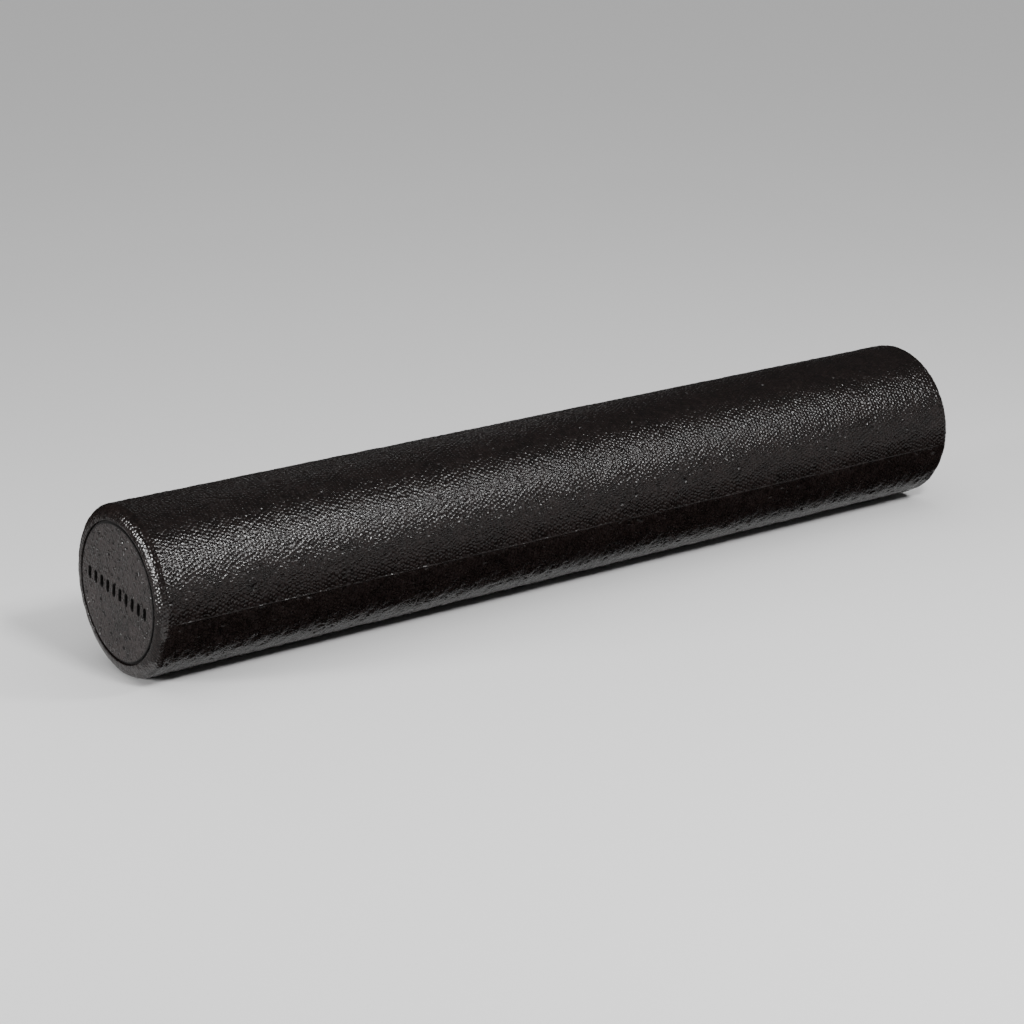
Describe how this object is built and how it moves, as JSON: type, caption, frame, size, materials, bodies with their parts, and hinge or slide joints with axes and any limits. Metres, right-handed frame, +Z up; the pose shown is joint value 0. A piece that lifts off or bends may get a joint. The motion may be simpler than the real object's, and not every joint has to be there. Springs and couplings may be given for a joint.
{
  "type": "foam roller",
  "caption": "Long solid round bead-foam roller with rounded rims and a ring-grooved disc set into each flat end.",
  "frame": {"origin": "on the floor under the middle of the roller, which lies on its side", "axes": "+X along the roller, +Z up, -Y towards the side where the parting line is the lower one"},
  "size_m": [0.9144, 0.1524, 0.1524],
  "materials": {
    "foam_skin": "near-black moulded bead foam with a slightly glossy pebbled skin",
    "foam_end": "near-black moulded bead foam, flatter and more matt, with scattered fine pits"
  },
  "bodies": {
    "root": {"roller_body": "foam_skin", "end_disc_left": "foam_end", "end_disc_right": "foam_end"}
  },
  "joints": []
}
